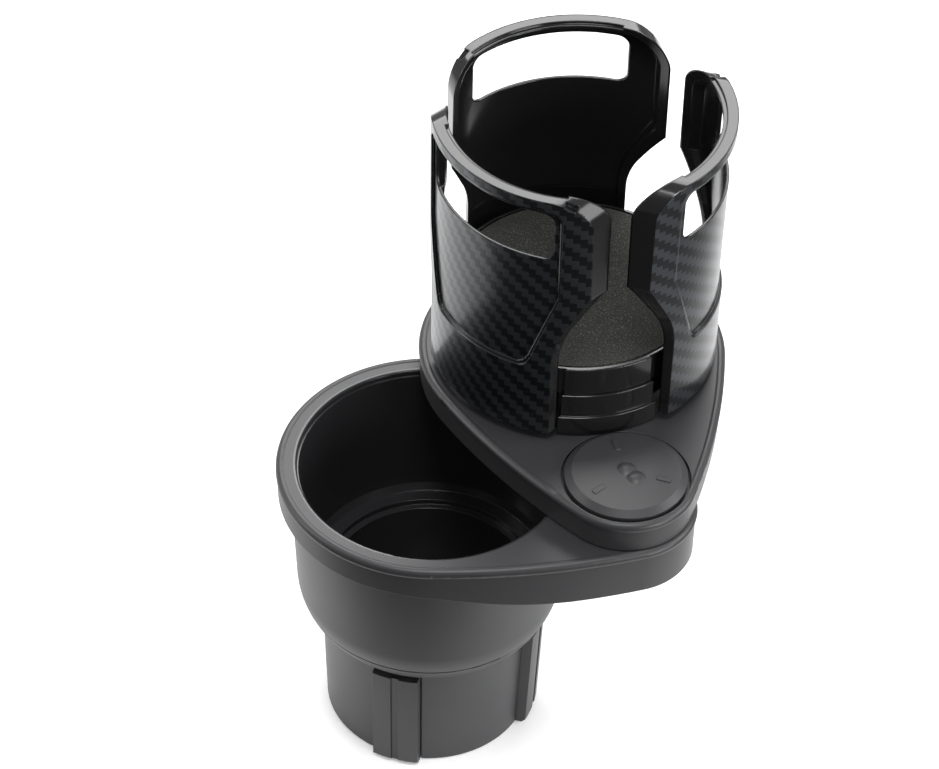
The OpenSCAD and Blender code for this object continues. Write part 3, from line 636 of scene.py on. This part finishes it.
@dataclass
class Finishes:
    """All materials of the holder, each made once."""

    satin: bpy.types.Material = field(init=False)
    housing: bpy.types.Material = field(init=False)
    gloss: bpy.types.Material = field(init=False)
    cap: bpy.types.Material = field(init=False)
    rubber: bpy.types.Material = field(init=False)
    acetal: bpy.types.Material = field(init=False)
    ring: bpy.types.Material = field(init=False)
    steel: bpy.types.Material = field(init=False)
    twill: bpy.types.Material = field(init=False)
    foam: bpy.types.Material = field(init=False)

    def __post_init__(self) -> None:
        """Makes every material."""
        # eroded ABS: soft broad highlights on black, with a grain at the edge of seeing
        satin = MouldedPlastic(
            name="ABS, moulded, eroded satin",
            colour="303032",
            shade="2a2a2c",
            roughness=0.44,
            spread=0.03,
            grain_mm=0.45,
            grain_depth=0.010,
        )
        self.satin = satin.build()
        # the same moulding, with the cup's inside polished by the core: dark and mirror-like
        self.housing = replace(
            satin, name="ABS, moulded, satin with polished bore", bore_mm=44.4
        ).build()
        # mirror-polished mould: narrow bright lines on deep black, slightly wavy from flow
        self.gloss = MouldedPlastic(
            name="ABS, moulded, high gloss",
            colour="1b1b1c",
            shade="171718",
            roughness=0.12,
            spread=0.03,
            grain_mm=1.5,
            grain_depth=0.002,
            flow_depth=0.02,
        ).build()
        # the cap is a separate moulding, with a slightly deeper grain
        self.cap = MouldedPlastic(
            name="ABS, moulded, satin cap",
            colour="2e2e30",
            shade="29292b",
            roughness=0.44,
            spread=0.03,
            grain_mm=0.40,
            grain_depth=0.012,
        ).build()
        # extruded rubber: blacker than the plastic round it, with an oily shine
        self.rubber = MouldedPlastic(
            name="Rubber, extruded strip",
            colour="0d0d0d",
            shade="0b0b0b",
            roughness=0.3,
            spread=0.04,
            grain_mm=0.9,
            grain_depth=0.004,
        ).build()
        # acetal: waxy, a little softer in its shine than ABS
        acetal = MouldedPlastic(
            name="Acetal, moulded, dark grey",
            colour="2b2b2d",
            shade="262628",
            roughness=0.36,
            spread=0.04,
            grain_mm=0.6,
            grain_depth=0.006,
        )
        self.acetal = acetal.build()
        # natural acetal is a warm milky white
        self.ring = replace(
            acetal, name="Acetal, cut, natural white", colour="dcdad2", shade="d2d0c8", roughness=0.38
        ).build()
        self.steel = PlatedSteel().build()
        self.twill = TwillPrint().build()
        self.foam = SpeckledFoam().build()


@dataclass
class LowerHolder:
    """The housing with the lower cup, and what is fixed to it."""

    finishes: Finishes
    body: Body = Body.HOLDER

    def build(self) -> None:
        """Dresses the housing and its small parts."""
        dress("housing", self.finishes.housing)
        dress("base_cam", self.finishes.acetal)
        dress("slide_ring", self.finishes.ring)
        for node in ("base_cam_screws", "pivot_washer", "pivot_screw"):
            dress(node, self.finishes.steel)


@dataclass
class ExpandingBase:
    """The turning sleeve, its floor and the three fins with their rubber strips."""

    finishes: Finishes
    body: Body = Body.SLEEVE

    def build(self) -> None:
        """Dresses the sleeve, the plate and the fins."""
        dress("sleeve", self.finishes.satin)
        dress("base_plate", self.finishes.satin)
        for node in ("base_plate_screws", "base_washer", "base_screw"):
            dress(node, self.finishes.steel)
        for number in (1, 2, 3):
            dress(f"fin_{number}", self.finishes.satin)
            dress(f"fin_strip_{number}", self.finishes.rubber)


@dataclass
class SwivelArm:
    """The teardrop tray, its cap and the spiral plate under the drum."""

    finishes: Finishes
    body: Body = Body.ARM

    def build(self) -> None:
        """Dresses the arm."""
        dress("tray", self.finishes.satin)
        dress("pivot_cap", self.finishes.cap)
        dress("friction_ring", self.finishes.ring)
        dress("basket_scroll", self.finishes.acetal)
        for node in ("scroll_screws", "drum_washer", "drum_screw"):
            dress(node, self.finishes.steel)


@dataclass
class PetalBasket:
    """The turning drum, its three petals and the foam pad."""

    finishes: Finishes
    body: Body = Body.DRUM
    pad_radius: float = 39.9 * MM
    pad_crown: float = 0.35 * MM
    pad_fill: float = 0.9
    pad_sides: int = 96
    pad_smooth: float = 50.0
    flat_normal: float = 0.9
    pad_rings: tuple[float, ...] = (0.5, 0.7, 4.0, 8.0, 12.0)
    petal_round: float = 0.35 * MM

    def foam_pad(self) -> bpy.types.Object:
        """Models the pad as a foam disc with a soft edge and a slightly crowned top.

        Returns:
            The pad, riding on the drum.
        """
        low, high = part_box("pad")
        middle = (low.z + high.z) / 2
        deselect()
        bpy.ops.mesh.primitive_cylinder_add(
            vertices=self.pad_sides,
            radius=self.pad_radius,
            depth=high.z - low.z,
            end_fill_type="NGON",
            location=(DRUM_X, DRUM_Y, middle),
        )
        pad = bpy.context.object
        pad.name = "foam_pad"
        bpy.ops.object.transform_apply(location=True, rotation=True, scale=True)
        bpy.context.tool_settings.mesh_select_mode = (False, False, True)
        bpy.ops.object.mode_set(mode="EDIT")
        bpy.ops.mesh.select_all(action="DESELECT")
        bpy.ops.object.mode_set(mode="OBJECT")
        # the top and the underside alone get rings
        for face in pad.data.polygons:
            face.select = abs(face.normal.z) > self.flat_normal
        bpy.ops.object.mode_set(mode="EDIT")
        # the two narrow rings hold the edge, the wide ones carry the crown
        for ring in self.pad_rings:
            bpy.ops.mesh.inset(thickness=ring * MM, depth=0.0)
        bpy.ops.object.mode_set(mode="OBJECT")
        for vertex in pad.data.vertices:
            share = math.hypot(vertex.co.x - DRUM_X, vertex.co.y - DRUM_Y) / self.pad_radius
            if vertex.co.z > middle:
                vertex.co.z -= self.pad_crown * share**4
        smooth = pad.modifiers.new("smooth", "SUBSURF")
        smooth.levels = 2
        smooth.render_levels = 2
        bpy.ops.object.modifier_apply(modifier=smooth.name)
        bpy.ops.object.shade_smooth_by_angle(angle=math.radians(self.pad_smooth))
        pad.data.materials.append(self.finishes.foam)
        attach(pad, self.body.value)
        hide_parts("pad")
        LOG.info("built foam_pad")
        return pad

    def build(self) -> None:
        """Dresses the drum and the petals, and builds the pad."""
        dress("drum", self.finishes.gloss)
        dress("platform", self.finishes.gloss)
        dress("platform_screws", self.finishes.steel)
        for number in (1, 2, 3):
            dress(f"petal_{number}", self.finishes.twill)
            soften(f"petal_{number}", self.petal_round)
        self.foam_pad()


@dataclass(frozen=True)
class SoftBox:
    """One rectangular lamp that looks at the basket."""

    name: str
    place: tuple[float, float, float]
    size: tuple[float, float]
    watts: float
    target: tuple[float, float, float] = (0.02, 0.02, 0.1)

    def hang(self) -> None:
        """Hangs the lamp."""
        data = bpy.data.lights.new(self.name, "AREA")
        data.shape = "RECTANGLE"
        data.size, data.size_y = self.size
        data.energy = self.watts
        lamp = bpy.data.objects.new(self.name, data)
        bpy.context.scene.collection.objects.link(lamp)
        aim = Vector(self.target) - Vector(self.place)
        lamp.location = self.place
        lamp.rotation_euler = aim.to_track_quat("-Z", "Y").to_euler()


@dataclass(frozen=True)
class StudioPaper:
    """Matt white paper under the holder.

    The camera sees it white all over. What mirrors it or takes its bounce sees it white close
    to the holder, and painted dark grey in front and at the far right: painted shade for a
    studio that is dark behind the camera, so upright black faces that mirror that side stay deep.
    """

    name: str = "Paper, matt studio sweep"
    size: float = 6.0
    tone: str = "f4f4f4"
    mottle: str = "f1f1f1"
    # painted shade: the dark grey that reflections and bounce light see on the paper in front and at the
    # far right
    painted_shade_tone: str = "3c3c3c"
    front: tuple[float, float] = (-0.055, -0.125)
    side: tuple[float, float] = (0.15, 0.27)
    side_fade: float = 0.95
    lift: float = 0.22
    lift_ramp: tuple[float, float] = (0.5, 1.1)
    roughness: float = 0.9
    level: float = 0.1

    def painted_shade_mask(self, tree: bpy.types.NodeTree, place: bpy.types.NodeSocket) -> bpy.types.NodeSocket:
        """Finds where the paper gets painted shade for reflections.

        Args:
            tree: The node tree that gets the nodes.
            place: The point on the paper.

        Returns:
            Nought on the lit part, and one where the paper gets painted shade for reflections.
        """
        parts = add_node(tree, "ShaderNodeSeparateXYZ", links={0: place})
        front = add_node(
            tree,
            MAP,
            {"interpolation_type": "SMOOTHSTEP"},
            {1: self.front[0], 2: self.front[1]},
            {0: parts.outputs[1]},
        )
        side = add_node(
            tree,
            MAP,
            {"interpolation_type": "SMOOTHSTEP"},
            {1: self.side[0], 2: self.side[1], 4: self.side_fade},
            {0: parts.outputs[0]},
        )
        dark = add_node(
            tree, MATH, {"operation": "MAXIMUM"}, links={0: front.outputs[0], 1: side.outputs[0]}
        )
        return dark.outputs[0]

    def glow(
        self, tree: bpy.types.NodeTree, place: bpy.types.NodeSocket, dark: bpy.types.NodeSocket
    ) -> bpy.types.NodeSocket:
        """Gives the paper a little light of its own, for the camera and for what mirrors it.

        Args:
            tree: The node tree that gets the nodes.
            place: The point on the paper.
            dark: One where the paper gets painted shade for reflections.

        Returns:
            The strength of that light.
        """
        path = add_node(tree, "ShaderNodeLightPath")
        mirrored = add_node(
            tree,
            MATH,
            {"operation": "MAXIMUM"},
            links={0: path.outputs["Is Glossy Ray"], 1: path.outputs["Is Transmission Ray"]},
        )
        lit = add_node(tree, MATH, {"operation": "SUBTRACT"}, {0: 1.0}, {1: dark})
        shown = add_node(
            tree, MATH, {"operation": "MULTIPLY"}, links={0: mirrored.outputs[0], 1: lit.outputs[0]}
        )
        mirror_lift = add_node(
            tree, MATH, {"operation": "MULTIPLY"}, {1: self.lift}, {0: shown.outputs[0]}
        )
        # the lamps reach less of the far paper, so the camera's share grows with distance
        reach = add_node(tree, VECTOR, {"operation": "LENGTH"}, links={0: place})
        ramp = add_node(
            tree,
            MAP,
            {"interpolation_type": "SMOOTHSTEP"},
            {1: self.lift_ramp[0], 2: self.lift_ramp[1], 3: self.lift, 4: 1.0},
            {0: reach.outputs["Value"]},
        )
        seen_lift = add_node(
            tree,
            MATH,
            {"operation": "MULTIPLY"},
            links={0: path.outputs["Is Camera Ray"], 1: ramp.outputs[0]},
        )
        lift = add_node(
            tree,
            MATH,
            {"operation": "MAXIMUM"},
            links={0: mirror_lift.outputs[0], 1: seen_lift.outputs[0]},
        )
        return lift.outputs[0]

    def lay(self) -> None:
        """Lays the paper, which keeps the holder's shadow."""
        deselect()
        bpy.ops.mesh.primitive_plane_add(size=self.size, location=(0, 0, 0))
        plane = bpy.context.object
        plane.name = "floor"
        material, tree, shader, coords = new_tree(self.name)
        place = coords.outputs["Object"]
        grain = add_node(tree, NOISE, values={"Scale": 4.0, "Detail": 2.0}, links={"Vector": place})
        tone = add_node(
            tree,
            MIX,
            {"data_type": "RGBA"},
            {6: linear(self.tone), 7: linear(self.mottle)},
            {0: grain.outputs[0]},
        )
        dark = self.painted_shade_mask(tree, place)
        # painted shade: the paper's colour turns dark grey in front and at the far right
        tone_with_painted_shade = add_node(
            tree,
            MIX,
            {"data_type": "RGBA"},
            {7: linear(self.painted_shade_tone)},
            {0: dark, 6: tone.outputs[2]},
        )
        path = add_node(tree, "ShaderNodeLightPath")
        # the camera sees the plain white tone, every other ray sees the tone with the painted shade
        seen = add_node(
            tree,
            MIX,
            {"data_type": "RGBA"},
            links={0: path.outputs["Is Camera Ray"], 6: tone_with_painted_shade.outputs[2], 7: tone.outputs[2]},
        )
        tree.links.new(seen.outputs[2], shader.inputs["Base Color"])
        tree.links.new(self.glow(tree, place, dark), shader.inputs["Emission Strength"])
        shader.inputs["Emission Color"].default_value = WHITE
        shader.inputs["Roughness"].default_value = self.roughness
        shader.inputs["Specular IOR Level"].default_value = self.level
        plane.data.materials.append(material)


@dataclass(frozen=True)
class PhotoCamera:
    """The camera at the photograph's place, turn and roll, fitted to measured edges."""

    place_mm: tuple[float, float, float] = (222.394, -808.514, 918.496)
    azimuth: float = 14.594
    elevation: float = 42.884
    roll: float = 1.601
    lens: float = 139.38
    sensor: float = 36.0
    clip: tuple[float, float] = (0.05, 20.0)

    def set_up(self) -> None:
        """Makes the camera and gives it to the scene."""
        a, e, r = (math.radians(v) for v in (self.azimuth, self.elevation, self.roll))
        back = Vector((math.sin(a) * math.cos(e), -math.cos(a) * math.cos(e), math.sin(e)))
        right = Vector((math.cos(a), math.sin(a), 0.0))
        up = right.cross(-back)
        turned = math.cos(r) * right + math.sin(r) * up
        top = -math.sin(r) * right + math.cos(r) * up
        data = bpy.data.cameras.new("camera")
        data.sensor_fit = "HORIZONTAL"
        data.sensor_width = self.sensor
        data.lens = self.lens
        data.clip_start, data.clip_end = self.clip
        camera = bpy.data.objects.new("camera", data)
        bpy.context.scene.collection.objects.link(camera)
        matrix = Matrix((turned, top, back)).transposed().to_4x4()
        matrix.translation = Vector(self.place_mm) * MM
        camera.matrix_world = matrix
        bpy.context.scene.camera = camera


@dataclass
class Studio:
    """Pale floor, soft lights and the camera at the photograph's angle."""

    room: float = 0.6
    room_front: float = 0.4
    room_ramp: tuple[float, float] = (-0.9, 0.1)
    boxes: tuple[SoftBox, ...] = (
        # a long overhead box behind the holder, which the level faces mirror
        SoftBox("back", (-0.35, 1.15, 1.25), (1.5, 0.8), 25.0),
        # a tall box at the right, for the upright faces that look that way
        SoftBox("right", (1.3, 0.35, 0.75), (0.7, 1.0), 12.0),
        # a low box at the right in front, for the bowl and the sleeve
        SoftBox("low", (1.1, -0.55, 0.25), (0.5, 0.4), 9.0),
        # a small box overhead, which every edge and bead that faces the camera catches
        SoftBox("top", (0.15, -0.35, 1.7), (0.5, 0.5), 13.0),
        # a narrow box at the left, for the streak down the left petal
        SoftBox("left", (-1.3, -0.25, 0.75), (0.35, 1.1), 7.0),
    )

    def world(self) -> None:
        """Fills the room with white light that is weaker in front, behind the camera."""
        world = bpy.data.worlds.new("studio")
        bpy.context.scene.world = world
        world.use_nodes = True
        tree = world.node_tree
        back = tree.nodes["Background"]
        coords = add_node(tree, "ShaderNodeTexCoord")
        parts = add_node(tree, "ShaderNodeSeparateXYZ", links={0: coords.outputs["Generated"]})
        low, high = self.room_ramp
        shade = add_node(
            tree,
            MAP,
            {"interpolation_type": "SMOOTHSTEP"},
            {1: low, 2: high, 3: self.room * self.room_front, 4: self.room},
            {0: parts.outputs[1]},
        )
        # behind the paper's edge the camera sees plain white
        path = add_node(tree, "ShaderNodeLightPath")
        seen = add_node(
            tree,
            MIX,
            {"data_type": "FLOAT"},
            {3: 1.0},
            {0: path.outputs["Is Camera Ray"], 2: shade.outputs[0]},
        )
        tree.links.new(seen.outputs[0], back.inputs["Strength"])
        back.inputs["Color"].default_value = WHITE

    def build(self) -> None:
        """Sets the whole studio."""
        bpy.context.scene.view_settings.view_transform = "Standard"
        StudioPaper().lay()
        self.world()
        for box in self.boxes:
            box.hang()
        PhotoCamera().set_up()
        LOG.info("set the floor, the lights and the camera")


def main() -> None:
    """Builds the looks in order."""
    logging.basicConfig(level=logging.INFO, format="%(name)s: %(message)s")
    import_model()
    finishes = Finishes()
    for part in (LowerHolder, ExpandingBase, SwivelArm, PetalBasket):
        LOG.info("building %s", part.body.value)
        part(finishes).build()
    Studio().build()


if __name__ == "__main__":
    main()
